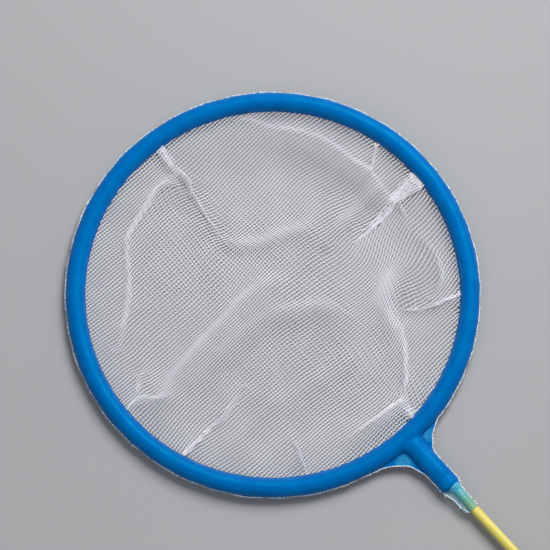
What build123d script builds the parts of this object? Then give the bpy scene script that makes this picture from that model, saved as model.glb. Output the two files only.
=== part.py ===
from build123d import *

import math
import os

# Round aquarium fish net lying flat. A steel wire is bent to a hoop, and its two ends run
# side by side down the handle inside a plastic tube. A soft hose covers the hoop and a short
# piece of the same hose covers the neck. The net lies between two plastic films that wrap
# both, and the three layers are welded along flat flanges inside and outside the ring.
# The handle points along +X. All sizes are in millimetres.

# Driving sizes of the wire frame
hoop_radius = 95.0
wire_diameter = 1.5
wire_bend_radius = 3.0
leg_gap = 0.1

# Driving sizes of the soft ring and neck
hose_diameter = 7.6
wire_clearance = 0.25
hose_joint_gap = 0.5
sleeve_gap = 0.2
sleeve_rounding = 1.0
neck_length = 27.0

# Driving sizes of the welded layers
film_thickness = 0.3
net_thickness = 0.25
layer_clearance = 0.1
flange_width = 0.45
web_radius = 10.0
neck_inset = 1.5
neck_rounding = 3.0
shoulder_length = 4.0
tip_length = 15.0

# Driving sizes of the net bag
bag_floor_radius = 55.0
bag_floor_lift = 0.2
net_pitch = 9.0
strand_width = 1.2

# Driving sizes of the handle
handle_length = 300.0
sheath_wall = 0.55
leg_clearance = 0.15
sheath_step = 0.25
sheath_clearance = 0.1
sheath_run_in = 3.0
plug_stem_length = 8.0
plug_head_length = 1.6
plug_clearance = 0.1
plug_setback = 0.25
leg_end_gap = 1.0

# Sizes that follow
wire_radius = wire_diameter / 2
leg_offset = wire_radius + leg_gap / 2
hose_radius = hose_diameter / 2
hose_bore_radius = wire_radius + wire_clearance
sheath_bore_radius = leg_offset + wire_radius + leg_clearance
sheath_radius = sheath_bore_radius + sheath_wall
seat_radius = sheath_radius - sheath_step
sleeve_bore_radius = seat_radius + sheath_clearance

# How far the faces of each layer stand off the hose where they wrap it
net_inside = layer_clearance
net_outside = net_inside + net_thickness
upper_inside = layer_clearance
upper_outside = upper_inside + film_thickness
lower_inside = net_outside + layer_clearance
lower_outside = lower_inside + film_thickness

# The flat weld plane is level with the hoop, and the ring rests on the surface below
weld_height = hose_radius + lower_outside
ring_outer_radius = hoop_radius + hose_radius + lower_outside + flange_width
ring_inner_radius = hoop_radius - hose_radius - lower_outside - flange_width
neck_half_width = hose_radius + lower_outside + flange_width
tip_half_width = seat_radius + layer_clearance + lower_outside + flange_width

# Places along the handle
sleeve_start = hoop_radius + hose_radius + sleeve_gap
neck_end = ring_outer_radius + neck_length
tip_end = neck_end + tip_length
sheath_start = sleeve_start + sheath_run_in
sheath_end = tip_end + handle_length
leg_end = sheath_end - plug_stem_length - leg_end_gap
handle_end = sheath_end + plug_head_length

# From the middle of the ring to the middle of the whole net's footprint, at floor height
to_footprint = Location(((ring_outer_radius - handle_end) / 2, 0, weld_height))


def corner_bend(circle_radius, line_offset, bend_radius):
    """Arc outside a circle round the origin that joins it to a line parallel to +X.

    Gives the points where the bend leaves the circle, is halfway, and meets the line.
    """
    centre_y = line_offset + bend_radius
    centre_x = math.sqrt((circle_radius + bend_radius) ** 2 - centre_y**2)
    share = circle_radius / (circle_radius + bend_radius)
    on_circle = Vector(centre_x * share, centre_y * share)
    on_line = Vector(centre_x, line_offset)
    centre = Vector(centre_x, centre_y)
    middle = (on_circle + on_line) * 0.5
    halfway = centre + (middle - centre).normalized() * bend_radius
    return on_circle, halfway, on_line


def across(point):
    """The same point on the other side of the handle's axis."""
    return Vector(point.X, -point.Y)


def ring_round(on_circle):
    """Arc of the ring, the long way round, from a point near the neck to its mirror image."""
    opposite = Vector(-on_circle.length, 0)
    return ThreePointArc(on_circle, opposite, across(on_circle))


def turned(outline):
    """Solid made by turning a closed outline, drawn in X and radius, about the handle's axis."""
    return revolve(make_face(outline), Axis.X)


def tube(start, end, outer_radius, inner_radius):
    """Round tube along the handle's axis."""
    outline = Polyline(
        (start, inner_radius), (end, inner_radius), (end, outer_radius), (start, outer_radius), close=True
    )
    return turned(outline)


def make_frame_wire():
    """Hoop and both legs, one wire of one length."""
    on_hoop, halfway, on_leg = corner_bend(hoop_radius, leg_offset, wire_bend_radius)
    tip = Vector(leg_end, leg_offset)
    path = Wire(
        [
            Line(tip, on_leg),
            ThreePointArc(on_leg, halfway, on_hoop),
            ring_round(on_hoop),
            ThreePointArc(across(on_hoop), across(halfway), across(on_leg)),
            Line(across(on_leg), across(tip)),
        ]
    )
    section = Plane(origin=tip, z_dir=(-1, 0, 0)) * Circle(wire_radius)
    return sweep(section, path)


def make_rim_hose():
    """Hose on the hoop. Its ends meet at the neck, slotted on the outside for the wire's legs."""
    hose = Torus(hoop_radius, hose_radius) - Torus(hoop_radius, hose_bore_radius)
    on_hoop = corner_bend(hoop_radius, leg_offset, wire_bend_radius)[0]
    slot_width = 2 * (on_hoop.Y + hose_bore_radius)
    reach = hose_diameter
    to_side = Align.MIN, Align.CENTER, Align.CENTER
    slot_start = on_hoop.X - hose_bore_radius
    slot = Pos(slot_start, 0, 0) * Box(reach, slot_width, 2 * hose_bore_radius, align=to_side)
    joint = Pos(hoop_radius, 0, 0) * Box(
        2 * hose_diameter, hose_joint_gap, 2 * hose_diameter, align=(Align.CENTER,) * 3
    )
    return hose - slot - joint


def make_neck_sleeve():
    """Short piece of the same hose on the start of the handle, with rounded ends."""
    sleeve = tube(sleeve_start, neck_end, hose_radius, sleeve_bore_radius)
    rims = sleeve.edges().filter_by(GeomType.CIRCLE).group_by(SortBy.RADIUS)[-1]
    return fillet(rims, sleeve_rounding)


def make_handle_sheath():
    """Plastic tube on the two legs, a little slimmer where the neck and the film cover it."""
    seat = tube(sheath_start, tip_end, seat_radius, sheath_bore_radius)
    grip = tube(tip_end, sheath_end, sheath_radius, sheath_bore_radius)
    return seat + grip


def make_end_plug():
    """Plug in the far end of the sheath, with a low domed head."""
    stem_radius = sheath_bore_radius - plug_clearance
    head_radius = sheath_radius - plug_setback
    stem_start = sheath_end - plug_stem_length
    crown = (handle_end, 0)
    shoulder = (sheath_end + plug_head_length / 2, head_radius)
    outline = [
        Polyline(
            (handle_end, 0),
            (stem_start, 0),
            (stem_start, stem_radius),
            (sheath_end, stem_radius),
            (sheath_end, head_radius),
            shoulder,
        ),
        TangentArc(crown, shoulder, tangent=(0, 1)),
    ]
    return turned(outline)


def wrapped(stand_off, end):
    """Ring and neck as one solid, its skin standing off the hose and the sheath by a distance."""
    side = hose_radius + stand_off
    tip_side = seat_radius + layer_clearance + stand_off
    start = hoop_radius + neck_inset - stand_off
    bend_start = Vector(start, hose_radius - neck_rounding)
    bend_end = Vector(hoop_radius + neck_inset + neck_rounding, side)
    outline = [
        Line((start, 0), bend_start),
        TangentArc(bend_start, bend_end, tangent=(0, 1)),
        Polyline(
            bend_end,
            (neck_end, side),
            (neck_end + shoulder_length, tip_side),
            (end, tip_side),
            (end, 0),
            (start, 0),
        ),
    ]
    return Torus(hoop_radius, side) + turned(outline)


def film_outline():
    """Cut outline of the welded layers: ring, corner webs, neck and tip, open inside the ring."""
    on_ring, halfway, on_neck = corner_bend(ring_outer_radius, neck_half_width, web_radius)
    neck_corner = Vector(neck_end, neck_half_width)
    tip_corner = Vector(tip_end, tip_half_width)
    edges = [
        ring_round(on_ring),
        ThreePointArc(across(on_ring), across(halfway), across(on_neck)),
        Polyline(across(on_neck), across(neck_corner), across(tip_corner), tip_corner, neck_corner, on_neck),
        ThreePointArc(on_neck, halfway, on_ring),
    ]
    return make_face(edges) - Circle(ring_inner_radius)


def welded_layer(inside, outside, plate_inside, plate_outside):
    """Upper half of one layer: flat in the flanges and webs, wrapped over the ring and the neck."""
    room = 4 * (handle_end + ring_outer_radius)
    upper_half = Box(room, room, room, align=(Align.CENTER, Align.CENTER, Align.MIN))
    past_tip = tip_end + tip_length
    plate = Pos(0, 0, plate_inside) * extrude(film_outline(), plate_outside - plate_inside)
    skin = wrapped(outside, tip_end) & upper_half
    hollow = wrapped(inside, past_tip)
    layer = plate + skin - hollow
    if plate_inside > 0:
        layer = layer - extrude(film_outline(), plate_inside)
    return layer


def turned_under(layer):
    """A layer mirrored to the underside of the weld plane."""
    return mirror(layer, about=Plane.XY)


def make_upper_film():
    return welded_layer(upper_inside, upper_outside, 0, film_thickness)


def make_lower_film():
    layers = net_thickness + film_thickness
    return turned_under(welded_layer(lower_inside, lower_outside, net_thickness, layers))


def net_gaps():
    """Square gaps of the net, in rows across the handle, as far out as whole gaps fit."""
    side = net_pitch - strand_width
    reach = ring_inner_radius - strand_width
    count = math.ceil(reach / net_pitch)
    gaps = []
    for row in range(-count, count + 1):
        for column in range(-count, count + 1):
            x = row * net_pitch
            y = column * net_pitch
            if math.hypot(abs(x) + side / 2, abs(y) + side / 2) < reach:
                gaps.append(Pos(x, y, 0) * Box(side, side, 2 * weld_height))
    return gaps


def make_net_bag():
    """One net: the margin welded under the ring, and the slack bag that lies on the surface."""
    margin = turned_under(welded_layer(net_inside, net_outside, 0, net_thickness))
    underside = bag_floor_lift - weld_height
    hem = ring_inner_radius + flange_width / 2

    def bag_line(drop):
        low = Vector(bag_floor_radius, underside + net_thickness - drop)
        high = Vector(ring_inner_radius, -drop)
        return low, high

    inner_low, inner_high = bag_line(0)
    outer_low, outer_high = bag_line(net_thickness)
    outline = [
        Line((0, inner_low.Y), inner_low),
        TangentArc(inner_low, inner_high, tangent=(1, 0)),
        Polyline(inner_high, (hem, inner_high.Y), (hem, outer_high.Y), outer_high),
        TangentArc(outer_low, outer_high, tangent=(1, 0)),
        Line(outer_low, (0, outer_low.Y)),
        Line((0, outer_low.Y), (0, inner_low.Y)),
    ]
    bag = revolve(Plane.XZ * make_face(outline), Axis.Z)
    return margin + (bag - net_gaps())


makers = {
    "frame_wire": make_frame_wire,
    "rim_hose": make_rim_hose,
    "neck_sleeve": make_neck_sleeve,
    "handle_sheath": make_handle_sheath,
    "end_plug": make_end_plug,
    "upper_film": make_upper_film,
    "lower_film": make_lower_film,
    "net_bag": make_net_bag,
}

os.makedirs("parts", exist_ok=True)
for node, make in makers.items():
    part = to_footprint * make()
    part.label = node
    export_step(part, f"parts/{node}.step")
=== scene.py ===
import math
from typing import NamedTuple

import bpy
import numpy as np
from mathutils import Matrix, Vector


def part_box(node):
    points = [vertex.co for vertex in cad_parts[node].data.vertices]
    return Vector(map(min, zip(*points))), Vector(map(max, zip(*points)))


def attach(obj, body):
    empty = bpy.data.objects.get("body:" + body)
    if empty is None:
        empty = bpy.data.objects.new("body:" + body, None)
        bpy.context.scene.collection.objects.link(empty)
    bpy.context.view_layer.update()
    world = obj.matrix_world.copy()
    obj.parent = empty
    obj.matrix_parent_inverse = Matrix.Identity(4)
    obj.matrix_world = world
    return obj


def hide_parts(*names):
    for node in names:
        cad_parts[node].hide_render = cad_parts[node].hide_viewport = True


# Looks of a round aquarium fish net that lies flat: a folded net of knotted threads, a satin
# film over the hoop and the neck, its cut edge with the net's loose ends, and a tube handle.
# Shapes are maths out in millimetres from the middle of the ring, with z from the floor.

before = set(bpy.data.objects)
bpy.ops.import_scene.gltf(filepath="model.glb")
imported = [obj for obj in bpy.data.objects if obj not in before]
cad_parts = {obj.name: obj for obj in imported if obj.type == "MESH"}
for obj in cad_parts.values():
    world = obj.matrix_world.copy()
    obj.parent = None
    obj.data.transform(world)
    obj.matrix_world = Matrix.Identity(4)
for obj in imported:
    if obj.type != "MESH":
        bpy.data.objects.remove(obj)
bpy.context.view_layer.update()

# Sizes read from the frame
MM = 1000.0
film_low, film_high = (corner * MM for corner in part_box("upper_film"))
under_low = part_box("lower_film")[0] * MM
hose_low, hose_high = (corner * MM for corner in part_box("rim_hose"))
sleeve_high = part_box("neck_sleeve")[1] * MM
ring_outer = (film_high.y - film_low.y) / 2
ring_x = film_low.x + ring_outer
weld = film_low.z
hose_radius = (hose_high.z - hose_low.z) / 2
hoop_radius = (hose_high.y - hose_low.y) / 2 - hose_radius
ring_inner = 2 * hoop_radius - ring_outer
upper_radius = film_high.z - weld
lower_radius = weld - under_low.z
neck_end = sleeve_high.x - ring_x
tip_end = film_high.x - ring_x

FILMS = ["upper_film", "lower_film"]

# The net's threads, and the least share of the zigzag that stays where rows lie close
ROW_PITCH = 1.48
LINK_PITCH = 1.46
ROW_RADIUS = 0.28
LINK_RADIUS = 0.13
KNOT_RADIUS = 0.36
KNOT_LENGTH = 0.5
ZIGZAG = 0.2
CLOSEST_ROWS = 0.1

# Its unevenness along itself and in height: size, length of the waves, and how many add up
DRIFT = 0.25
DRIFT_WAVE = 18.0
RISE_DRIFT = 0.45
RISE_WAVE = 26.0
DRIFT_SUM = 6

# How the net lies: so far under the weld, in under the hem and off the floor, flat out to a radius
NET_DEPTH = 0.12
NET_MARGIN = 1.4
NET_LIFT = 0.4
BAG_FLOOR = 58.0
net_level = weld - NET_DEPTH
net_edge = ring_inner + NET_MARGIN

# How far off a fold the net gives way, its slack, and the reach of the flat lattice with it
SLACK_REACH = 45.0
LATTICE_REACH = 1.32

# The film's swell over ring and neck, and the flat welds
SWELL_HALF = 4.55
NECK_START = 98.4
NECK_HALF = 5.1
NECK_SHIFT = -0.65
NECK_ROUNDING = 2.2
NECK_PAST = 0.5
FILM_BLEND = 2.4
SECTION_RADIUS = 4.2
WELD_TOP = 0.3
WELD_BOTTOM = -0.55


def smooth_step(t):
    t = np.clip(t, 0, 1)
    return t * t * (3 - 2 * t)


def wobble(phase, seed, waves, size):
    """Gentle random unevenness along an angle in radians, closed round a full turn."""
    rng = np.random.default_rng(seed)
    total = np.zeros_like(phase)
    for count in waves:
        total += rng.normal() * np.sin(count * phase + rng.uniform(0, 2 * math.pi))
    return size * total / math.sqrt(len(waves))


def smooth_line(points, step):
    """Even samples of a smooth line through given points."""
    p = np.array(points, float)
    p = np.vstack([2 * p[0] - p[1], p, 2 * p[-1] - p[-2]])
    samples = 12
    t = np.linspace(0, 1, samples, endpoint=False)[:, None]
    runs = []
    for a, b, c, d in zip(p, p[1:], p[2:], p[3:]):
        square = (2 * a - 5 * b + 4 * c - d) * t**2
        cube = (3 * (b - c) + d - a) * t**3
        runs.append(b + ((c - a) * t + square + cube) / 2)
    return evenly(np.vstack(runs + [p[-2:-1]]), step)


def evenly(line, step=None, count=None):
    """A line's points spaced evenly along it, a step apart or a given number of them."""
    line = np.array(line, float)
    length = np.append(0, np.cumsum(np.hypot(*np.diff(line[:, :2], axis=0).T)))
    if count is None:
        count = max(2, round(length[-1] / step) + 1)
    at = np.linspace(0, length[-1], count)
    return np.stack([np.interp(at, length, column) for column in line.T], axis=1)


def new_piece(name, points, faces, replaced, smooth=True):
    """Mesh object from points in millimetres round the ring's middle, riding on the frame."""
    mesh = bpy.data.meshes.new(name)
    placed = (np.asarray(points, float) + (ring_x, 0, 0)) / MM
    mesh.from_pydata(placed.tolist(), [], np.asarray(faces).tolist())
    mesh.polygons.foreach_set("use_smooth", [smooth] * len(mesh.polygons))
    mesh.update()
    piece = bpy.data.objects.new(name, mesh)
    bpy.context.scene.collection.objects.link(piece)
    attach(piece, "root")
    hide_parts(*replaced)
    return piece


# Cross-sections of one side of a fold, from its crest at 0 to its foot at 1


def soft(place):
    """A wave, level at the crest and at the foot."""
    return (1 + np.cos(math.pi * place)) / 2


def limb(place):
    """Rounded over at the crest and steepest at the foot."""
    return np.cos(math.pi * place / 2)


def brink(place):
    """Steepest at the crest, running out level at the foot."""
    return 1 - np.sin(math.pi * place / 2)


class Fold(NamedTuple):
    """A fold of the slack net along a crest of (x, y, height) points.

    Left and right are its widths on the two sides of the crest, and shape and other are the
    cross-sections there. Lean lays the fold over to the left, in degrees. Slip is how far the
    net is drawn along the crest on its left, and back on its right. Stand is the share of the
    height that stands up: the rest only draws the threads closer together. Bias is how much more
    of the fold's slack comes from its right side than from its left, -1 for all from the left.
    Reach is how far off the net gives way.
    """

    crest: list
    left: float
    right: float
    shape: object = soft
    other: object = soft
    lean: float = 0
    slip: float = 0
    stand: float = 1
    bias: float = 0
    reach: float = SLACK_REACH


# Crest of the folds bunched beside the broad pleat
BUNCH = [
    (1, 86, 0), (1.8, 82, 0.6), (2.6, 78, 1.3), (3.4, 74, 1.8), (4.5, 70, 1.9), (5.4, 67, 1.9),
    (6.1, 62, 1.5), (6.6, 56, 1), (6.6, 47, 0),
]

# In these comments left, right, near and far are as the camera sees them
FOLDS = [
    # Tuck at the far left that runs on as a thin crease
    Fold(
        [
            (-98, 6.8, 4.6), (-91, 6.2, 4), (-85, 5.7, 3.4), (-78, 5.2, 3.2), (-72, 4.8, 2.9),
            (-68, 4.6, 2), (-65, 4.4, 0),
        ],
        0.5, 0.5, lean=72,
    ),
    Fold(
        [
            (-98, 5.2, 4.4), (-91, 4.8, 3.8), (-85, 4.6, 3.2), (-78, 4.3, 2.8), (-72, 4.2, 2),
            (-68, 4.2, 0),
        ],
        0.5, 0.5, lean=74,
    ),
    Fold(
        [
            (-76, 5.4, 0), (-69, 4.6, 2.6), (-61, 2.9, 2.8), (-54, 1.6, 2.6), (-43, -0.3, 2.2),
            (-38, 0, 1.4), (-32, 3.5, 0),
        ],
        0.5, 0.5, lean=42, slip=2.6,
    ),
    # Dense band that carries the crease on to the far side
    Fold(
        [
            (-36.7, -7.7, 0), (-31.2, 1.8, 5.4), (-24.2, 11.3, 7.2), (-18.7, 23.8, 6.8),
            (-14.2, 35.3, 5), (-10.2, 45.3, 0),
        ],
        7, 7, brink, brink, stand=0.3,
    ),
    # Rounded fold beside the rim on the far side
    Fold(
        [
            (-76, 40, 0), (-70, 47, 1.6), (-59, 54, 2.6), (-47, 64, 3.2), (-34, 69.5, 4),
            (-24, 71, 4.2), (-15, 73.2, 4.2), (-9.5, 73.2, 4), (-3.6, 72.6, 3.6), (0.5, 72, 2.6),
            (4, 70.5, 0),
        ],
        3.4, 11, limb,
    ),
    # Thin tuck on the far right
    Fold(
        [(-24, 94, 2.6), (-22, 87, 2.6), (-19.5, 83, 2.4), (-17, 80, 2.2), (-14, 76, 1.8), (-9, 74, 0)],
        0.45, 0.45, lean=62,
    ),
    # Broad pleat on the right, bunched together where it narrows inwards
    Fold(
        [
            (-1, 98, 10.5), (0.4, 90, 10.5), (1.4, 84, 9), (2.2, 80, 7), (3, 76, 5), (3.9, 72, 3.6),
            (5.2, 68, 3.4), (6.1, 62, 3.2), (6.6, 56, 2.5), (6.6, 50, 1.5), (6.5, 43, 0),
        ],
        0.6, 0.6, lean=82, bias=-0.15, reach=75,
    ),
    *(
        Fold([(x + aside, y, z) for x, y, z in BUNCH], 0.4, 0.4, lean=80, bias=-0.15, reach=75)
        for aside in (-0.9, 0.9, 1.7)
    ),
    # A short fold and a soft one on the two sides of the pleat
    Fold([(5.5, 75, 0), (9.8, 74.4, 2.4), (12.6, 73.7, 2.4), (15.4, 73, 1.6), (21, 71.4, 0)], 1.1, 1.2),
    Fold([(-7, 74, 0), (-6, 69, 2), (-4, 61, 3), (-3, 50, 3), (-1, 38, 2), (4, 30, 0)], 4, 5),
    # Right-hand side: a thin arc, a tuck, the hooked dense band and the narrow line under it
    Fold(
        [
            (21, 70, 0), (27.9, 71.6, 1.4), (33.9, 71.3, 2), (38.5, 70.5, 2.4), (43.7, 68.3, 2.6),
            (47, 66, 2.4), (49.5, 62.5, 1.8), (51, 57, 0),
        ],
        2.4, 2.8, brink, brink, stand=0.5,
    ),
    Fold(
        [
            (63.5, 75.8, 3.2), (59.5, 67.8, 3.2), (57, 59.5, 3), (54, 51.3, 2.8), (50.5, 45.8, 2.4),
            (45.5, 38.8, 0),
        ],
        0.5, 0.5, lean=50,
    ),
    Fold(
        [
            (37, 68, 0), (34.5, 62, 2.2), (32.2, 56.6, 5), (30.8, 51, 8), (31.4, 46.6, 10),
            (34.6, 41.8, 11), (39, 36.5, 11.2), (48.5, 32.4, 10.6), (56.5, 29.5, 7.8),
            (67.8, 23.1, 3.4), (75, 16.6, 0),
        ],
        7.4, 7.4, brink, brink, stand=0.2,
    ),
    Fold(
        [(46, 37, 0), (55, 33.5, 2.2), (63, 28.5, 3.2), (70.5, 22, 3.2), (76, 16.5, 2.8), (80, 10, 0)],
        2.2, 2.2, brink, brink, stand=0.35,
    ),
    # Tuck beside the handle and the dense band that runs from it
    Fold(
        [(98, 11, 4.2), (91, 11, 4), (84, 11.2, 3.6), (79, 11.2, 2.6), (75, 11, 0)],
        0.5, 0.5, lean=68,
    ),
    Fold([(98, 12.4, 3.8), (91, 12.3, 3.6), (85, 12.4, 2.6), (80, 12.2, 0)], 0.5, 0.5, lean=72),
    Fold(
        [
            (77, -27, 0), (78.4, -17, 3), (79.8, -8, 4.4), (80.6, -2, 5), (81.2, 4, 5.2), (81.8, 9, 4),
            (82, 14, 0),
        ],
        3, 6.5, limb,
    ),
    # Tuck at the near left and the fine line that runs on from it
    Fold(
        [
            (32, -97, 2.8), (31.9, -85, 2.6), (30.8, -76, 2.3), (30, -70, 1.9), (29.3, -64, 1.2),
            (29.6, -60, 0),
        ],
        0.5, 0.5, lean=70,
    ),
    Fold([(32.7, -97, 2.4), (32.5, -86, 2.2), (31.5, -78, 1.5), (30.7, -71, 0)], 0.5, 0.5, lean=74),
    Fold(
        [
            (28.5, -66, 0), (29.4, -60.4, 1.8), (27.8, -54.4, 2.4), (26.4, -48.9, 2.2),
            (25.3, -42.9, 1.4), (24, -36, 0),
        ],
        1.7, 2.2,
    ),
    # Long ridge over the near left half, and the softer ones beside it
    Fold(
        [
            (1, -86, 0), (4, -78, 3.6), (4, -71, 5.6), (1, -62.5, 6.8), (-0.5, -53, 7.3),
            (-2, -41.5, 7.5), (-3.2, -27.5, 7), (-5, -14, 6.4), (-4.8, -6, 5.6), (-3.6, 1.5, 4.4),
            (0, 8, 2.6), (6, 15, 0),
        ],
        6, 14, limb, stand=0.7,
    ),
    Fold(
        [
            (8, -76, 0), (9, -60, 1), (7, -41, 1.6), (7, -13, 2.8), (11.5, 0, 3.6), (17.5, 9, 3.6),
            (25, 15.5, 2.8), (37, 22, 0),
        ],
        6, 8,
    ),
    Fold([(45, -76, 0), (42, -56, 1.2), (41, -39, 1.6), (46, -11, 1.6), (52, 9, 0)], 6, 7),
    # Narrow ridges: on the left, hooked at the long ridge's end, across that, and at the near side
    Fold(
        [
            (-65, 3.5, 0), (-70.4, 0.9, 1.6), (-74, -6.5, 2.6), (-72.5, -15.3, 3.2),
            (-70.3, -24.5, 3.4), (-67.7, -32.7, 3.4), (-63.4, -38, 3.4), (-56.3, -43.3, 3.4),
            (-49.4, -49, 3.4), (-41.6, -57.5, 3.2), (-35, -66, 2.6), (-30.5, -72, 1.6), (-27, -78, 0),
        ],
        2.6, 2.6, brink, brink, stand=0.3,
    ),
    Fold(
        [
            (-2.5, -95, 2.4), (-3.2, -90.4, 3), (-4.4, -86, 3.2), (-4.4, -82, 3.2), (-2.5, -79.3, 3.2),
            (0, -77.6, 3.2), (2, -74.5, 3), (2.4, -70, 2), (1.5, -64, 0),
        ],
        2.4, 2.4, brink, brink, stand=0.3,
    ),
    Fold(
        [(-17, -70.5, 0), (-13.5, -74, 1.8), (-10.5, -77.5, 2.2), (-7.5, -81, 1.8), (-5, -85, 0)],
        2, 2, brink, brink, stand=0.4,
    ),
    Fold(
        [
            (54, -41, 0), (59.6, -41.4, 1.6), (63.5, -42.1, 2), (67.6, -44, 2.2), (72.5, -47.2, 2.2),
            (78, -51, 1.6),
        ],
        1.3, 1.5,
    ),
]

# Places where the slack net is drawn aside: middle, how far round it, and which way
DRAWN_ASIDE = [((41, 61), 13, (3.2, 0))]

# How far off its crest a slip is strongest, and the steps and rounds in which folds are laid
SLIP_REACH = 7.0
FOLD_STEP = 2.0
FOLD_SWEEPS = 10

# Stretches in from the weld over which the net comes free to slip, to ease and to sag
SLIP_STRETCH = 14.0
EASE_STRETCH = 3.0
SAG_STRETCH = 12.0

# A fold lies flat over this last stretch before the weld, laid over by so many degrees
RIM_LAY = 9.0
LAID_FLAT = 84.0

# How much the net evens itself out: not at all in folds this narrow, freely on sides this wide
EASE_ROUNDS = 24
HELD_WIDTH = 2.0
FREE_WIDTH = 9.0
RISEN = 0.05

# Cross-sections looked up by their steepness and the share of their length
steep_grid = np.linspace(0, 24, 97)
share_grid = np.linspace(0, 1, 201)


def shape_tables(shape):
    """Place across a shape for each share of its length, and that length, by steepness."""
    cells = 800
    across = np.linspace(0, 1, cells + 1)
    places, lengths = [], []
    for steep in steep_grid:
        speed = np.hypot(1, steep * np.gradient(shape(across), across))
        length = np.append(0, np.cumsum((speed[1:] + speed[:-1]) / 2) / cells)
        places.append(np.interp(share_grid, length / length[-1], across))
        lengths.append(length[-1])
    return np.array(places), np.array(lengths)


shape_table = {shape: shape_tables(shape) for shape in (soft, limb, brink)}


def shape_place(places, steep, share):
    """Both-way interpolation in a table of places across a shape."""
    row = np.clip(steep / steep_grid[1], 0, len(steep_grid) - 1.001)
    column = np.clip(share, 0, 1) * (len(share_grid) - 1.001)
    i, j = row.astype(int), column.astype(int)
    u, v = row - i, column - j
    near = places[i, j] * (1 - v) + places[i, j + 1] * v
    far = places[i + 1, j] * (1 - v) + places[i + 1, j + 1] * v
    return near * (1 - u) + far * u


def beside(line, points):
    """Distance from a fold's crest line, which side, the way outwards and the height there."""
    best = np.full(len(points), np.inf)
    offset = np.zeros_like(points)
    height = np.zeros(len(points))
    side = np.ones(len(points))
    for a, b in zip(line, line[1:]):
        run = b - a
        t = np.clip((points - a[:2]) @ run[:2] / (run[:2] @ run[:2]), 0, 1)
        away = points - a[:2] - t[:, None] * run[:2]
        square = np.sum(away**2, axis=1)
        nearer = square < best
        best = np.where(nearer, square, best)
        offset[nearer] = away[nearer]
        height = np.where(nearer, a[2] + t * run[2], height)
        turned = run[0] * away[:, 1] - run[1] * away[:, 0]
        side = np.where(nearer, np.where(turned < 0, -1, 1), side)
    distance = np.sqrt(best)
    outward = offset / np.maximum(distance, 1e-6)[:, None]
    return distance, side, outward, height


def fold_effect(fold, line, points):
    """How far a fold draws the net in at each point, its left, its height there and its width."""
    shift = np.zeros_like(points)
    if fold.bias:
        run = line[-1, :2] - line[0, :2]
        share = (line[:, :2] - line[0, :2]) @ run / (run @ run)
        chord = np.column_stack([line[0, :2] + share[:, None] * run, line[:, 2]])
        distance, side, outward, height = beside(chord, points)
        lengths = shape_table[fold.shape][1]
        slack = fold.left * (np.interp(height / fold.left, steep_grid, lengths) - 1)
        fade = 1 - smooth_step((distance - slack) / fold.reach)
        shift = outward * (side * fold.bias * slack * fade)[:, None]
    distance, side, outward, height = beside(line, points + shift)
    drawn = np.zeros(len(points))
    rise = np.zeros(len(points))
    sides = ((fold.shape, fold.left, side > 0), (fold.other, fold.right, side < 0))
    for shape, width, here in sides:
        places, lengths = shape_table[shape]
        steep = height[here] / width
        away = distance[here]
        length = width * np.interp(steep, steep_grid, lengths)
        place = shape_place(places, steep, away / length)
        taken = (length - width) * (1 - smooth_step((away - length) / fold.reach))
        drawn[here] = np.where(away < length, away - width * place, taken)
        rise[here] = np.where(away < length, fold.stand * height[here] * shape(place), 0)
    width = np.where(side > 0, fold.left, fold.right)
    return outward * drawn[:, None] - shift, outward * side[:, None], rise, width


def folded(flat):
    """Places in space of the net's flat points once all its folds are laid."""
    lines = [smooth_line(fold.crest, FOLD_STEP) for fold in FOLDS]
    drawn = [np.zeros_like(flat) for _ in FOLDS]
    total = np.zeros_like(flat)
    for _ in range(FOLD_SWEEPS):
        for i, fold in enumerate(FOLDS):
            without = flat - (total - drawn[i])
            pull = fold_effect(fold, lines[i], without)[0]
            total += pull - drawn[i]
            drawn[i] = pull
    ground = flat - total
    moved = ground.copy()
    radius = np.hypot(*ground.T)
    to_rim = smooth_step((radius - BAG_FLOOR) / (ring_inner - BAG_FLOOR))
    level = NET_LIFT + (net_level - NET_LIFT) * to_rim
    free = smooth_step((ring_inner - radius) / SLIP_STRETCH)
    loose = smooth_step((ring_inner - radius) / EASE_STRETCH)
    laid = smooth_step((radius - ring_inner + RIM_LAY) / RIM_LAY)
    for middle, extent, way in DRAWN_ASIDE:
        share = free * np.exp(-np.sum((ground - middle) ** 2, axis=1) / extent**2)
        moved += share[:, None] * np.array(way)
    for i, fold in enumerate(FOLDS):
        _, left, rise, width = fold_effect(fold, lines[i], flat - (total - drawn[i]))
        if fold.slip:
            distance, side, outward, height = beside(lines[i], ground)
            reach = side * distance / SLIP_REACH
            along = np.column_stack([outward[:, 1], -outward[:, 0]]) * side[:, None]
            share = fold.slip * free * np.clip(height, 0, 1) * reach * np.exp(1 - np.abs(reach))
            moved += along * share[:, None]
        lean = np.radians(fold.lean + (LAID_FLAT - fold.lean) * laid)
        moved += left * (rise * np.sin(lean))[:, None]
        level += rise * np.cos(lean)
        ease = np.clip((width - HELD_WIDTH) / (FREE_WIDTH - HELD_WIDTH), 0, 1) ** 2
        loose = np.where(rise > RISEN, loose * ease, loose)
    return np.column_stack([moved, level]), radius, loose


def eased(points, loose):
    """Grid of knots evened out by its own threads, as far as each knot is loose."""
    for _ in range(EASE_ROUNDS):
        around = sum(np.roll(points, step, axis) for step in (1, -1) for axis in (0, 1)) / 4
        points = points + loose[..., None] * (around - points) / 2
    return points


def unit(vectors):
    return vectors / np.maximum(np.linalg.norm(vectors, axis=-1, keepdims=True), 1e-9)


def uneven(flat, seed, size, wave):
    """Slow random drift over the flat net, for its slight unevenness."""
    rng = np.random.default_rng(seed)
    drift = np.zeros(len(flat))
    for _ in range(DRIFT_SUM):
        way = rng.normal(size=2) * 2 * math.pi / wave
        drift += np.sin(flat @ way + rng.uniform(0, 2 * math.pi))
    return size * drift / math.sqrt(DRIFT_SUM)


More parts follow.
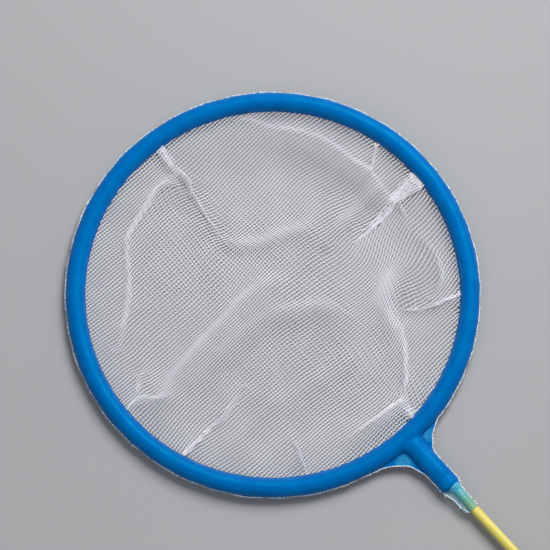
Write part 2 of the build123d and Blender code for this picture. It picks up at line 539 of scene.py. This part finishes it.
def net_lattice():
    """The net's knots as a grid of points, rows across the handle, and which of them exist."""
    reach = ring_inner * LATTICE_REACH
    rows = round(reach / ROW_PITCH)
    links = round(reach / LINK_PITCH)
    row_places = np.arange(-rows, rows + 1) * ROW_PITCH
    link_places = np.arange(-links, links + 1) * LINK_PITCH
    u, v = np.meshgrid(row_places, link_places, indexing="ij")
    flat = np.column_stack([u.ravel(), v.ravel()])
    drift = np.column_stack([uneven(flat, seed, DRIFT, DRIFT_WAVE) for seed in (3, 4)])
    points, radius, loose = folded(flat + drift)
    sag = smooth_step((ring_inner - radius) / SAG_STRETCH)
    points[:, 2] += uneven(flat, 5, RISE_DRIFT, RISE_WAVE) * sag
    points[:, 2] = np.maximum(points[:, 2], NET_LIFT)
    shape = u.shape
    points = eased(points.reshape(*shape, 3), loose.reshape(shape))
    present = (radius < net_edge).reshape(shape)
    along_row = unit(np.gradient(points, axis=1))
    down = np.gradient(points, axis=0)
    apart = down - along_row * np.sum(down * along_row, axis=-1, keepdims=True)
    across_row = unit(apart)
    up = np.cross(across_row, along_row)
    step = np.where(np.arange(shape[1]) % 2 == 0, ZIGZAG, -ZIGZAG)
    room = np.clip(np.linalg.norm(apart, axis=-1, keepdims=True) / ROW_PITCH, CLOSEST_ROWS, 1)
    points = points + across_row * step[None, :, None] * room
    return points, present, along_row, across_row, up


def corner_turns(sides):
    """Angles of the corners round a thread."""
    return np.arange(sides) * 2 * math.pi / sides + math.pi / sides


def thread_tubes(starts, ends, side_a, up_a, side_b, up_b, radius, sides):
    """Straight tubes between pairs of points, open at their ends."""
    turn = corner_turns(sides)
    cos, sin = np.cos(turn)[None, :, None], np.sin(turn)[None, :, None]
    near = starts[:, None] + radius * (side_a[:, None] * cos + up_a[:, None] * sin)
    far = ends[:, None] + radius * (side_b[:, None] * cos + up_b[:, None] * sin)
    points = np.stack([near, far], axis=1).reshape(-1, 3)
    base = np.arange(len(starts))[:, None] * 2 * sides
    i = np.arange(sides)
    j = (i + 1) % sides
    quads = np.stack([base + i, base + j, base + sides + j, base + sides + i], axis=-1)
    return points, quads.reshape(-1, 4)


def make_net(thread):
    """The net's rows, links and knots, and the area of the flat net in square metres."""
    points, present, along, across, up = net_lattice()
    sides = 4
    turn = corner_turns(sides)
    ring = across[..., None, :] * np.cos(turn)[:, None] + up[..., None, :] * np.sin(turn)[:, None]

    # Rows: one ring of points at each knot, joined to the next knot in the row
    index = np.full(present.shape, -1)
    index[present] = np.arange(present.sum())
    row_points = (points[..., None, :] + ROW_RADIUS * ring)[present].reshape(-1, 3)
    joined = present[:, :-1] & present[:, 1:]
    first, second = index[:, :-1][joined], index[:, 1:][joined]
    i = np.arange(sides)
    j = (i + 1) % sides
    row_faces = np.stack(
        [
            first[:, None] * sides + i,
            first[:, None] * sides + j,
            second[:, None] * sides + j,
            second[:, None] * sides + i,
        ],
        axis=-1,
    ).reshape(-1, 4)
    rows = new_piece("net_rows", row_points, row_faces, ["net_bag"])

    # Links from row to row
    joined = present[:-1] & present[1:]
    a, b = points[:-1][joined], points[1:][joined]
    side_a, side_b = along[:-1][joined], along[1:][joined]
    up_a, up_b = up[:-1][joined], up[1:][joined]
    link_points, link_faces = thread_tubes(a, b, side_a, up_a, side_b, up_b, LINK_RADIUS, sides)
    links = new_piece("net_links", link_points, link_faces, ["net_bag"])

    # A small lump at each knot, longer along its row
    middle = points[present]
    tips = along[present] * KNOT_LENGTH
    wide = across[present] * KNOT_RADIUS
    high = up[present] * KNOT_RADIUS
    outward = (-tips, tips, wide, high, -wide, -high)
    knot_points = np.stack([middle + out for out in outward], axis=1).reshape(-1, 3)
    knot_points[:, 2] = np.maximum(knot_points[:, 2], 0)
    belt = [(2, 3), (3, 4), (4, 5), (5, 2)]
    corners = np.array([(0, q, p) for p, q in belt] + [(1, p, q) for p, q in belt])
    first = np.arange(len(middle)) * len(outward)
    knot_faces = (first[:, None, None] + corners[None]).reshape(-1, 3)
    knots = new_piece("net_knots", knot_points, knot_faces, ["net_bag"])
    for piece in (rows, links, knots):
        piece.data.materials.append(thread)
    cut = present.sum() * ROW_PITCH * LINK_PITCH / MM**2
    return rows, links, knots, cut


def lens(across, level, half_width):
    """Signed distance, roughly, to the section of the film drawn over a hose."""
    tall = np.where(level > 0, upper_radius, lower_radius)
    return (np.hypot(across / half_width, level / tall) - 1) * SECTION_RADIUS


def dip(along, depth, width):
    """A smooth dip round 0."""
    return depth * np.exp(-((along / width) ** 2))


def film_field(points):
    """Signed distance, roughly, to the skin over the ring and the neck, in millimetres."""
    x, y, z = points[..., 0], points[..., 1], points[..., 2] - weld
    angle = np.arctan2(y, x)
    uneven_ring = wobble(angle, 11, [3, 5, 8, 13, 21, 34, 55], 0.06)
    ring = lens(np.hypot(x, y) - hoop_radius, z, SWELL_HALF) - uneven_ring
    start, end = NECK_START, neck_end + NECK_PAST
    along = np.abs(x - (start + end) / 2) - (end - start) / 2 + NECK_ROUNDING
    # A narrow waist before the neck's end, and a wide shallow one past its start
    waist = dip(x - neck_end + 5.5, 0.25, 1.0) + dip(x - start - 8, 0.12, 4)
    side = lens(y - NECK_SHIFT, z, NECK_HALF) + waist + NECK_ROUNDING
    outside = np.hypot(np.maximum(along, 0), np.maximum(side, 0))
    neck = outside + np.minimum(np.maximum(along, side), 0) - NECK_ROUNDING
    mix = np.clip(0.5 + (neck - ring) / (2 * FILM_BLEND), 0, 1)
    return neck * (1 - mix) + ring * mix - FILM_BLEND * mix * (1 - mix)


def surface_net(field, low, high, step):
    """Quads over the surface where a field is zero, with their points drawn on to it."""
    axes = [np.arange(a, b + step, step) for a, b in zip(low, high)]
    grid = np.stack(np.meshgrid(*axes, indexing="ij"), axis=-1)
    inside = field(grid) < 0
    corners = sum(
        inside[i : i - 1 or None, j : j - 1 or None, k : k - 1 or None].astype(int)
        for i in (0, 1)
        for j in (0, 1)
        for k in (0, 1)
    )
    cells = (corners > 0) & (corners < 8)
    index = np.full(cells.shape, -1)
    index[cells] = np.arange(cells.sum())
    points = np.argwhere(cells) * step + np.array(low) + step / 2
    nudge = 0.02
    rounds = 6
    for _ in range(rounds):
        value = field(points)
        rises = [field(points + nudge * axis) - field(points - nudge * axis) for axis in np.eye(3)]
        slope = np.stack(rises, axis=1) / (2 * nudge)
        points = points - slope * (value / np.maximum(np.sum(slope**2, axis=1), 1e-6))[:, None]
    faces = []
    for axis in range(3):
        near = np.moveaxis(inside, axis, 0)
        crossing = near[:-1, 1:-1, 1:-1] != near[1:, 1:-1, 1:-1]
        outward = near[:-1, 1:-1, 1:-1][crossing]
        around = np.moveaxis(index, axis, 0)
        turn = (around[:, :-1, :-1], around[:, 1:, :-1], around[:, 1:, 1:], around[:, :-1, 1:])
        quad = np.stack([corner[crossing] for corner in turn], axis=1)
        flip = outward if axis != 1 else ~outward
        quad[~flip] = quad[~flip][:, ::-1]
        faces.append(quad)
    return points, np.vstack(faces)


def make_rim(film):
    """The film where it wraps the ring and the neck."""
    margin = 1.0
    step = 0.6
    low = (-ring_outer - margin, -ring_outer - margin, weld - lower_radius - margin)
    high = (neck_end + 2 * margin, ring_outer + margin, weld + upper_radius + margin)
    points, faces = surface_net(film_field, low, high, step)
    points[:, 2] = np.maximum(points[:, 2], under_low.z)
    rim = new_piece("film_rim", points, faces, FILMS)
    rim.data.materials.append(film)


def plate(grid_xy, closed, grow=0.0):
    """Thin flat solid over a grid of points, its long way round joined up if closed."""
    count, width = grid_xy.shape[:2]
    sheets = []
    for drop in (WELD_TOP + grow, WELD_BOTTOM - grow):
        level = np.full((count, width, 1), weld + drop)
        sheets.append(np.concatenate([grid_xy, level], axis=2).reshape(-1, 3))
    points = np.vstack(sheets)
    i = np.arange(count if closed else count - 1)
    j = (i + 1) % count
    n = count * width
    faces = []
    for k in range(width - 1):
        a, b, c, d = i * width + k, i * width + k + 1, j * width + k + 1, j * width + k
        faces.append(np.stack([a, b, c, d], axis=1))
        faces.append(np.stack([d + n, c + n, b + n, a + n], axis=1))
    for k, flip in ((0, False), (width - 1, True)):
        a, d = i * width + k, j * width + k
        wall = np.stack([a, d, d + n, a + n], axis=1)
        faces.append(wall[:, ::-1] if flip else wall)
    if not closed:
        k = np.arange(width - 1)
        for at, flip in ((0, True), (count - 1, False)):
            a = at * width + k
            wall = np.stack([a, a + 1, a + 1 + n, a + n], axis=1)
            faces.append(wall[:, ::-1] if flip else wall)
    return points, np.vstack(faces)


# Cut edge of the welded layers on each side of the handle: the web in the corner between
# ring and neck, and the flap beside the neck and the tip
WEB_NEAR = [(97.2, -23.6), (98.9, -18.5), (102, -13.6), (106.2, -9.2), (109.6, -7.7), (114, -6.3)]
WEB_FAR = [(98.6, 16.6), (100.8, 12.5), (102.7, 9.6), (105.2, 7.5), (106.6, 5.8), (109.5, 4.7)]
FLAP_NEAR = [
    (114, -6.3), (120, -6.0), (125.2, -6.1), (127.6, -5.7), (130, -5), (133.3, -4.4), (137.7, -4.4),
    (141.4, -3.3),
]
FLAP_FAR = [(109.5, 4.7), (118, 4.7), (125.5, 4.7), (127.6, 3.9), (130, 2.9), (135, 2.6), (141.4, 2.5)]
EDGE_STEP = 0.6

# Paler places in the webs: middle and radius
WEB_PATCHES = [((103.2, -9.6), 5.0), ((101.6, 8.6), 4.0)]

# How far the flat welds run in under the swell, and half the width of the tip's own swell
FLANGE_TUCK = 0.5
TIP_SIDE = 2.2


def edge_sections():
    """Cut edge and swell line, from the far side's tip round the ring to the near side's."""
    swell = hoop_radius + SWELL_HALF - FLANGE_TUCK
    neck_side = NECK_HALF + NECK_SHIFT - FLANGE_TUCK
    sections = []
    for web, flap, side in ((WEB_FAR, FLAP_FAR, 1), (WEB_NEAR, FLAP_NEAR, -1)):
        web_line = smooth_line(web, EDGE_STEP)
        start = math.atan2(abs(web[0][1]), web[0][0])
        corner = math.asin(neck_side / swell)
        turn = np.linspace(start, corner, 40)
        bend = np.column_stack([swell * np.cos(turn), side * swell * np.sin(turn)])
        bend = np.vstack([bend, [(web[-1][0], side * neck_side)]])
        flap_line = evenly(flap, EDGE_STEP)
        narrowing = [neck_end - 0.5, neck_end + 3, tip_end]
        core = np.interp(flap_line[:, 0], narrowing, [neck_side, TIP_SIDE, TIP_SIDE])
        inner = np.column_stack([flap_line[:, 0], side * core])
        outer = np.vstack([web_line, flap_line[1:]])
        inner = np.vstack([evenly(bend, count=len(web_line)), inner[1:]])
        sections.append((outer, inner, start))
    (far_outer, far_inner, far_start), (near_outer, near_inner, near_start) = sections
    turn = np.linspace(far_start, 2 * math.pi - near_start, 1000)[1:-1]
    # The ring's edge is cut in short runs that bulge a little, and unevenly
    bulge = 0.35 * np.abs(np.sin(turn * 20))
    chord = bulge + wobble(turn, 21, [9, 17, 31, 57, 101], 0.16) - 0.25
    out = np.column_stack([np.cos(turn), np.sin(turn)])
    ring_edge = (ring_outer - 0.1 + chord)[:, None] * out
    ring_swell = swell * out
    outer = np.vstack([far_outer[::-1], ring_edge, near_outer])
    inner = np.vstack([far_inner[::-1], ring_swell, near_inner])
    return outer, inner


def between(inner, outer, count):
    """Grid of points from one line across to another."""
    share = np.linspace(0, 1, count)[None, :, None]
    return inner[:, None] * (1 - share) + outer[:, None] * share


def make_flanges(weld_film, film, clear_film, cut_film):
    """Flat welds outside and inside the ring, clear flaps at the tip, and the whitened cut edge."""
    outer, inner = edge_sections()
    before_tip = np.nonzero(outer[:, 0] < neck_end)[0]
    first, last = before_tip[0], before_tip[-1] + 1
    points, faces = plate(between(inner[first:last], outer[first:last], 7), closed=False)
    flange = new_piece("film_flange", points, faces, FILMS, smooth=False)
    flange.data.materials.append(weld_film)

    flaps = {"film_flap_far": slice(0, first + 1), "film_flap_near": slice(last - 1, None)}
    for name, run in flaps.items():
        points, faces = plate(between(inner[run], outer[run], 4), closed=False)
        flap = new_piece(name, points, faces, FILMS, smooth=False)
        flap.data.materials.append(clear_film)

    turn = np.linspace(0, 2 * math.pi, 1200, endpoint=False)
    edge = ring_inner + 0.1 + wobble(turn, 31, [7, 19, 43, 97, 151], 0.12)
    radii = np.column_stack([edge, np.full_like(edge, hoop_radius - SWELL_HALF + FLANGE_TUCK)])
    grid = radii[:, :, None] * np.column_stack([np.cos(turn), np.sin(turn)])[:, None]
    points, faces = plate(grid, closed=True)
    hem = new_piece("film_hem", points, faces, FILMS, smooth=False)
    hem.data.materials.append(film)

    rng = np.random.default_rng(61)
    run = np.gradient(outer, axis=0)
    out = unit(np.column_stack([run[:, 1], -run[:, 0]]))
    ragged = out * rng.uniform(-0.06, 0.16, (len(outer), 1))
    deep = out * rng.uniform(0.2, 0.42, (len(outer), 1))
    points, faces = plate(between(outer - deep, outer + ragged, 3), closed=False, grow=0.05)
    white = new_piece("film_cut_edge", points, faces, FILMS, smooth=False)
    white.data.materials.append(cut_film)
    return outer


def make_fringe(outline, thread):
    """Cut ends of the net's threads that stand out of the welds' cut edge."""
    # Shortest and longest end, cut shorter round the ring, and how far ends bend
    shortest, longest, trim, bent = 0.2, 0.95, 0.45, 0.35
    # How deep an end is held, the flattest crossing that leaves one, and the thread itself
    root, flattest, radius, sides = 0.4, 0.25, 0.2, 5
    rng = np.random.default_rng(41)
    starts, ends = [], []
    for axis, pitch in ((0, ROW_PITCH), (1, LINK_PITCH)):
        cell = np.floor(outline[:, axis] / pitch)
        crossed = np.nonzero(cell[:-1] != cell[1:])[0]
        for n in crossed:
            a, b = outline[n], outline[n + 1]
            run = b - a
            out = np.array([run[1], -run[0]]) / np.hypot(*run)
            way = np.zeros(2)
            way[1 - axis] = 1 if out[1 - axis] > 0 else -1
            slope = abs(out[1 - axis])
            reach = rng.uniform(shortest, longest) * (1 if a[0] > neck_end - 2 else trim)
            bend = rng.normal(0, bent, 2)
            if slope < flattest:
                continue
            starts.append(a - way * root)
            ends.append(a + way * reach * (0.6 + 0.4 / slope) + bend * reach)
    starts, ends = np.array(starts), np.array(ends)
    level = rng.uniform(-0.3, 0.12, len(starts))
    starts = np.column_stack([starts, np.full(len(starts), net_level)])
    ends = np.column_stack([ends, weld + level])
    along = unit(ends - starts)
    side = unit(np.cross(along, (0, 0, 1)))
    up = np.cross(side, along)
    points, faces = thread_tubes(starts, ends, side, up, side, up, radius, sides)
    fringe = new_piece("net_fringe", points, faces, ["net_bag"])
    fringe.data.materials.append(thread)
    return fringe


def make_tip(tip_film):
    """Film drawn down on to the handle past the neck."""
    wide, narrow, thickness = 3.4, 2.4, 0.2
    overlap, taper, rib_height = 0.6, 4.5, 0.07
    x = np.linspace(neck_end - overlap, tip_end - 0.1, 60)
    turn = np.linspace(0, 2 * math.pi, 40, endpoint=False)
    drawn = smooth_step((x - neck_end + overlap) / taper)
    radius = wide + (narrow - wide) * drawn
    ribs = rib_height * np.sin(2 * math.pi * x / ROW_PITCH)
    even = (radius + ribs)[:, None] + np.zeros(len(turn))
    shells = []
    for r in (even + wobble(turn, 51, [2, 3, 5], 0.05), even - thickness):
        along = np.broadcast_to(x[:, None], r.shape)
        shells.append(np.stack([along, r * np.cos(turn), weld + r * np.sin(turn)], axis=-1))
    count, around = shells[0].shape[:2]
    points = np.vstack([shell.reshape(-1, 3) for shell in shells])
    i, j = np.meshgrid(np.arange(count - 1), np.arange(around), indexing="ij")
    k = (j + 1) % around
    a, d = i * around, (i + 1) * around
    skin = np.stack([a + j, a + k, d + k, d + j], axis=-1).reshape(-1, 4)
    n = count * around
    j = np.arange(around)
    k = (j + 1) % around
    last = (count - 1) * around
    lips = [
        np.stack([j, j + n, k + n, k], axis=1),
        np.stack([last + j, last + k, last + k + n, last + j + n], axis=1),
    ]
    faces = np.vstack([skin[:, ::-1], skin + n, *lips])
    tip = new_piece("film_tip", points, faces, FILMS)
    tip.data.materials.append(tip_film)


# Materials


def new_material(name):
    material = bpy.data.materials.new(name)
    material.use_nodes = True
    tree = material.node_tree
    return material, tree, tree.nodes["Principled BSDF"]


def node(tree, kind, inputs=None, **settings):
    """New shader node, its inputs set to values or linked to other nodes' outputs."""
    made = tree.nodes.new(kind)
    for key, value in settings.items():
        setattr(made, key, value)
    for key, value in (inputs or {}).items():
        if isinstance(value, bpy.types.NodeSocket):
            tree.links.new(value, made.inputs[key])
        else:
            made.inputs[key].default_value = value
    return made


def object_place(tree, stretch=(1, 1, 1)):
    """Coordinates in the part's frame, scaled per axis."""
    coordinates = node(tree, "ShaderNodeTexCoord").outputs["Object"]
    return node(tree, "ShaderNodeMapping", {"Vector": coordinates, "Scale": stretch}).outputs[0]


def noise(tree, where, scale, detail=3.0):
    made = node(tree, "ShaderNodeTexNoise", {"Vector": where, "Scale": scale, "Detail": detail})
    return made.outputs["Fac"]


def ramp(tree, factor, *stops):
    """Colours along a factor, as (place, colour) stops."""
    made = node(tree, "ShaderNodeValToRGB", {"Fac": factor})
    band = made.color_ramp
    while len(band.elements) < len(stops):
        band.elements.new(0.5)
    for element, (at, colour) in zip(band.elements, stops):
        element.position = at
        element.color = (*colour, 1)
    return made.outputs["Color"]


def mapped(tree, value, near, far, low, high):
    """A value's run from near to far, drawn out between low and high."""
    inputs = {"Value": value, "From Min": near, "From Max": far, "To Min": low, "To Max": high}
    return node(tree, "ShaderNodeMapRange", inputs).outputs["Result"]


def spread(tree, factor, low, high):
    """The middle of a noise drawn out between two values."""
    return mapped(tree, factor, 0.3, 0.7, low, high)


def maths(tree, operation, *values, **settings):
    """Result of an operation on values or on other nodes' outputs."""
    inputs = dict(enumerate(values))
    return node(tree, "ShaderNodeMath", inputs, operation=operation, **settings).outputs[0]


def bump(tree, height, strength, distance):
    inputs = {"Height": height, "Strength": strength, "Distance": distance}
    return node(tree, "ShaderNodeBump", inputs).outputs["Normal"]


def thread_material():
    material, tree, shader = new_material("net_thread")
    where = object_place(tree)
    tree.links.new(
        ramp(tree, noise(tree, where, 90), (0.3, (0.86, 0.85, 0.92)), (0.7, (0.93, 0.93, 0.97))),
        shader.inputs["Base Color"],
    )
    tree.links.new(spread(tree, noise(tree, where, 2500), 0.35, 0.6), shader.inputs["Roughness"])
    tree.links.new(bump(tree, noise(tree, where, 6000), 0.4, 0.0001), shader.inputs["Normal"])
    return material


def satin(shader):
    """Soft gloss of the dyed film, tinted by it."""
    shader.inputs["Specular IOR Level"].default_value = 0.3
    shader.inputs["Specular Tint"].default_value = (0.0, 0.7, 1.0, 1)


def film_material():
    material, tree, shader = new_material("film_satin")
    where = object_place(tree)
    colour = ramp(tree, noise(tree, where, 120), (0.3, (0.0, 0.125, 0.43)), (0.7, (0.0, 0.155, 0.49)))
    tree.links.new(colour, shader.inputs["Base Color"])
    satin(shader)
    tree.links.new(spread(tree, noise(tree, where, 400), 0.36, 0.46), shader.inputs["Roughness"])
    slow = bump(tree, noise(tree, where, 70), 0.35, 0.0012)
    inputs = {"Height": noise(tree, where, 900), "Strength": 0.15, "Distance": 0.0002, "Normal": slow}
    grain = node(tree, "ShaderNodeBump", inputs)
    tree.links.new(grain.outputs["Normal"], shader.inputs["Normal"])
    return material


def patch(tree, where, centre, radius):
    """1 inside a round place on the object, fading to 0 past its radius."""
    spot = ((ring_x + centre[0]) / MM, centre[1] / MM, weld / MM)
    reach = node(tree, "ShaderNodeVectorMath", {0: where, 1: spot}, operation="DISTANCE")
    return mapped(tree, reach.outputs["Value"], 0.6 * radius / MM, radius / MM, 1.0, 0.0)


def weld_material():
    """Film welded flat, paler and mottled by the net inside it in the two corners by the neck."""
    material, tree, shader = new_material("film_weld")
    where = object_place(tree)
    corners = [patch(tree, where, centre, radius) for centre, radius in WEB_PATCHES]
    paler = maths(tree, "MAXIMUM", *corners)
    mottled = maths(tree, "MULTIPLY", paler, spread(tree, noise(tree, where, 1100), 0.4, 0.9))
    colour = ramp(
        tree, mottled, (0.0, (0.0, 0.12, 0.42)), (0.5, (0.01, 0.19, 0.47)), (1.0, (0.05, 0.3, 0.54))
    )
    tree.links.new(colour, shader.inputs["Base Color"])
    satin(shader)
    tree.links.new(spread(tree, noise(tree, where, 400), 0.3, 0.45), shader.inputs["Roughness"])
    tree.links.new(bump(tree, noise(tree, where, 800), 0.5, 0.0004), shader.inputs["Normal"])
    return material


def clear_material():
    """Thin film with no hose under it, nearly clear."""
    material, tree, shader = new_material("film_clear")
    where = object_place(tree)
    colour = ramp(tree, noise(tree, where, 900), (0.35, (0.16, 0.5, 0.66)), (0.65, (0.6, 0.8, 0.86)))
    tree.links.new(colour, shader.inputs["Base Color"])
    tree.links.new(spread(tree, noise(tree, where, 700), 0.18, 0.42), shader.inputs["Alpha"])
    shader.inputs["Roughness"].default_value = 0.3
    tree.links.new(bump(tree, noise(tree, where, 1200), 0.6, 0.0003), shader.inputs["Normal"])
    return material


def cut_material():
    """Cut edge of the welded layers, whitened by the net's ends in it."""
    material, tree, shader = new_material("film_cut")
    where = object_place(tree)
    specks = noise(tree, where, 1300, 2.0)
    colour = ramp(
        tree, specks, (0.36, (0.02, 0.24, 0.58)), (0.45, (0.4, 0.68, 0.84)), (0.54, (0.88, 0.92, 0.95))
    )
    tree.links.new(colour, shader.inputs["Base Color"])
    shader.inputs["Roughness"].default_value = 0.6
    tree.links.new(bump(tree, noise(tree, where, 2500), 0.6, 0.0003), shader.inputs["Normal"])
    return material


def tip_material():
    """Film over the handle, clearer and yellower towards its end, ribbed by the net's rows in it."""
    material, tree, shader = new_material("film_tip")
    where = object_place(tree)
    along = node(tree, "ShaderNodeSeparateXYZ", {"Vector": where}).outputs["X"]
    start, end = ((ring_x + at) / MM for at in (neck_end, tip_end))
    share = mapped(tree, along, start, end, 0, 1)
    dyed = ramp(
        tree,
        share,
        (0.0, (0.0, 0.44, 0.74)),
        (0.3, (0.04, 0.5, 0.58)),
        (0.65, (0.14, 0.54, 0.44)),
        (1.0, (0.26, 0.58, 0.34)),
    )
    rib = maths(tree, "SINE", maths(tree, "MULTIPLY", along, 2 * math.pi * MM / ROW_PITCH))
    specks = spread(tree, noise(tree, where, 1400), -0.5, 0.8)
    inputs = {
        "Factor": maths(tree, "MULTIPLY", rib, specks, use_clamp=True),
        "A": dyed,
        "B": (0.8, 0.88, 0.86, 1),
    }
    mixed = node(tree, "ShaderNodeMix", inputs, data_type="RGBA")
    tree.links.new(mixed.outputs["Result"], shader.inputs["Base Color"])
    tree.links.new(mapped(tree, share, 0, 1, 0.9, 0.4), shader.inputs["Alpha"])
    tree.links.new(spread(tree, noise(tree, where, 600), 0.35, 0.55), shader.inputs["Roughness"])
    tree.links.new(bump(tree, noise(tree, where, 900), 0.5, 0.0004), shader.inputs["Normal"])
    return material


def sheath_material():
    material, tree, shader = new_material("sheath_yellow")
    streaks = object_place(tree, (0.02, 1, 1))
    colour = ramp(tree, noise(tree, streaks, 900), (0.34, (0.6, 0.5, 0.035)), (0.66, (0.92, 0.8, 0.2)))
    tree.links.new(colour, shader.inputs["Base Color"])
    tree.links.new(spread(tree, noise(tree, streaks, 1500), 0.22, 0.38), shader.inputs["Roughness"])
    tree.links.new(bump(tree, noise(tree, streaks, 1800), 0.25, 0.0002), shader.inputs["Normal"])
    return material


def foam_material():
    material, tree, shader = new_material("hose_foam")
    where = object_place(tree)
    colour = ramp(tree, noise(tree, where, 1500), (0.3, (0.005, 0.1, 0.4)), (0.7, (0.02, 0.18, 0.55)))
    tree.links.new(colour, shader.inputs["Base Color"])
    shader.inputs["Roughness"].default_value = 0.85
    tree.links.new(bump(tree, noise(tree, where, 2500), 0.5, 0.0003), shader.inputs["Normal"])
    return material


def wire_material():
    material, tree, shader = new_material("wire_steel")
    streaks = object_place(tree, (0.05, 1, 1))
    colour = ramp(tree, noise(tree, streaks, 1200), (0.3, (0.48, 0.48, 0.5)), (0.7, (0.66, 0.66, 0.67)))
    tree.links.new(colour, shader.inputs["Base Color"])
    shader.inputs["Metallic"].default_value = 1.0
    tree.links.new(spread(tree, noise(tree, streaks, 1500), 0.25, 0.4), shader.inputs["Roughness"])
    return material


def floor_material():
    material, tree, shader = new_material("floor_pale")
    where = object_place(tree)
    colour = ramp(tree, noise(tree, where, 3), (0.3, (0.4, 0.405, 0.415)), (0.7, (0.43, 0.435, 0.445)))
    tree.links.new(colour, shader.inputs["Base Color"])
    shader.inputs["Roughness"].default_value = 0.9
    shader.inputs["Specular IOR Level"].default_value = 0.1
    return material


def make_floor():
    half = 6.0
    mesh = bpy.data.meshes.new("floor")
    low = -0.0001
    corners = [(-half, -half, low), (half, -half, low), (half, half, low), (-half, half, low)]
    mesh.from_pydata(corners, [], [(0, 1, 2, 3)])
    floor = bpy.data.objects.new("floor", mesh)
    bpy.context.scene.collection.objects.link(floor)
    floor.data.materials.append(floor_material())


# Camera and light

CAMERA_AZIMUTH = math.radians(47.7245)
CAMERA_ELEVATION = math.radians(77.4569)
CAMERA_DISTANCE = 1.4718
CAMERA_LENS = 200.0
SENSOR = 36.0
AIM_X, AIM_Y = -5.61, 6.52
aim = Vector((ring_x + AIM_X, AIM_Y, weld)) / MM

# The lamps' azimuths are counted from this one, close to the camera's
LAMP_FRONT = 47.7


def direction(azimuth, elevation):
    """Unit vector from the object towards a place, azimuth 0 looking along +Y."""
    flat = math.cos(elevation)
    return Vector((math.sin(azimuth) * flat, -math.cos(azimuth) * flat, math.sin(elevation)))


def facing(back, right):
    return Matrix((right, back.cross(right), back)).transposed().to_4x4()


def make_camera():
    camera = bpy.data.objects.new("camera", bpy.data.cameras.new("camera"))
    bpy.context.scene.collection.objects.link(camera)
    camera.data.lens = CAMERA_LENS
    camera.data.sensor_width = SENSOR
    camera.data.sensor_fit = "AUTO"
    back = direction(CAMERA_AZIMUTH, CAMERA_ELEVATION)
    right = Vector((math.cos(CAMERA_AZIMUTH), math.sin(CAMERA_AZIMUTH), 0))
    camera.matrix_world = Matrix.Translation(aim + back * CAMERA_DISTANCE) @ facing(back, right)
    camera.data.clip_end = 20
    bpy.context.scene.camera = camera


def make_lamp(name, azimuth, elevation, distance, size, power):
    """Large soft lamp, aimed at the ring."""
    data = bpy.data.lights.new(name, "AREA")
    data.size = size
    data.energy = power
    lamp = bpy.data.objects.new(name, data)
    bpy.context.scene.collection.objects.link(lamp)
    back = direction(math.radians(azimuth), math.radians(elevation))
    right = Vector((math.cos(math.radians(azimuth)), math.sin(math.radians(azimuth)), 0))
    lamp.matrix_world = Matrix.Translation(aim + back * distance) @ facing(back, right)


def make_light():
    world = bpy.data.worlds.new("studio")
    world.use_nodes = True
    background = world.node_tree.nodes["Background"]
    background.inputs["Color"].default_value = (0.95, 0.97, 1.0, 1)
    background.inputs["Strength"].default_value = 0.24
    bpy.context.scene.world = world
    make_lamp("key", LAMP_FRONT + 150, elevation=52, distance=1.5, size=0.8, power=23.0)
    make_lamp("fill", LAMP_FRONT - 40, elevation=40, distance=1.6, size=0.8, power=2.5)


make_camera()
make_light()
make_floor()
bpy.context.scene.view_settings.view_transform = "Standard"

thread = thread_material()
rows, links, knots, cut = make_net(thread)
film = film_material()
make_rim(film)
outline = make_flanges(weld_material(), film, clear_material(), cut_material())
fringe = make_fringe(outline, thread)
make_tip(tip_material())

finishes = {
    "handle_sheath": sheath_material(),
    "end_plug": sheath_material(),
    "rim_hose": foam_material(),
    "neck_sleeve": foam_material(),
    "frame_wire": wire_material(),
}
for name, material in finishes.items():
    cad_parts[name].data.materials.clear()
    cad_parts[name].data.materials.append(material)
